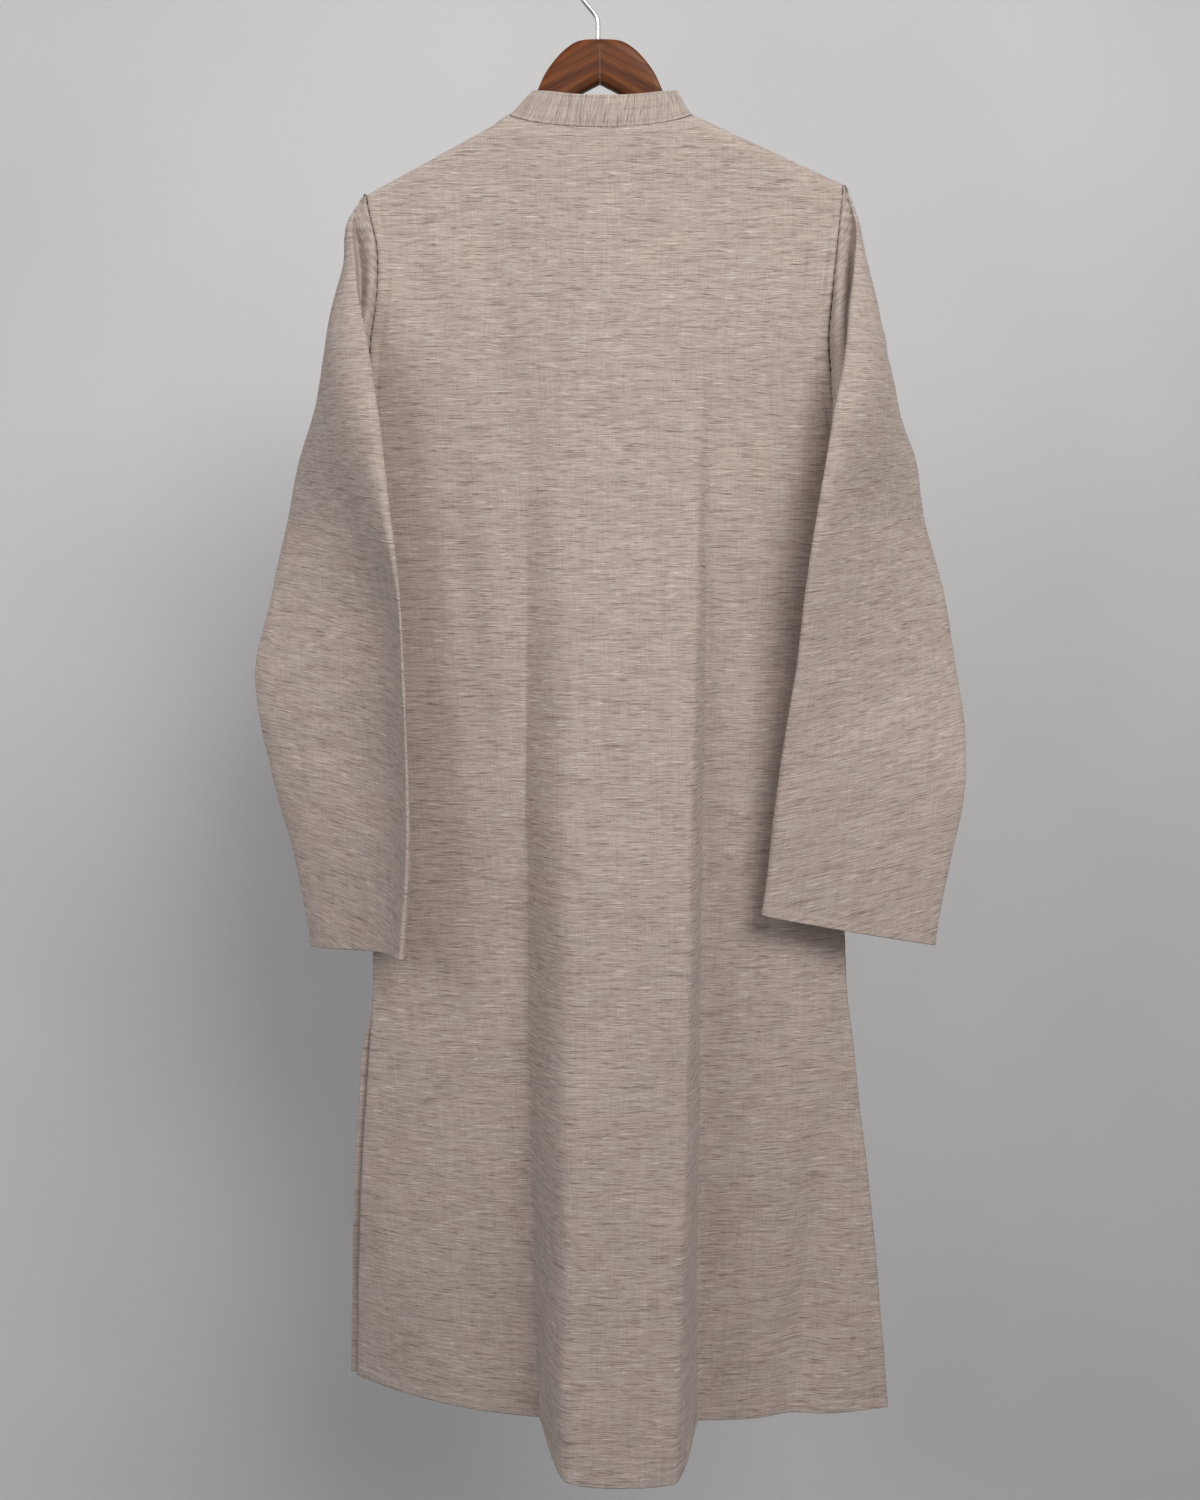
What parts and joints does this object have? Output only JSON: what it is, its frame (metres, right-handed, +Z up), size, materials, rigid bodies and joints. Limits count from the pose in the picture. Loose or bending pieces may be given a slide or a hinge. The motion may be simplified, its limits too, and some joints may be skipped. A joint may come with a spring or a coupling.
{
  "type": "kurta tunic on a wooden hanger",
  "caption": "Long plain kurta tunic with a band collar, long sleeves and side slits, hanging on a wooden hanger by its steel hook.",
  "frame": {"origin": "inside top of the hook, where the rail bears, in the hanger's middle plane", "axes": "+Z up; the wearer's left is +X; the wearer's front faces -Y and the back of the kurta faces +Y"},
  "size_m": [0.6124, 0.1729, 1.2514],
  "materials": {
    "cloth": "undyed beige slub cotton, matt",
    "button": "satin brown",
    "wood": "satin brown varnish",
    "steel": "polished wire"
  },
  "bodies": {
    "root": {"back_panel": "cloth", "front_panel": "cloth", "sleeve_left": "cloth", "sleeve_right": "cloth", "collar_band": "cloth", "placket_upper": "cloth", "placket_under": "cloth", "button_1": "button", "button_2": "button", "button_3": "button", "hanger_arm_left": "wood", "hanger_arm_right": "wood", "hook_wire": "steel"}
  },
  "joints": []
}
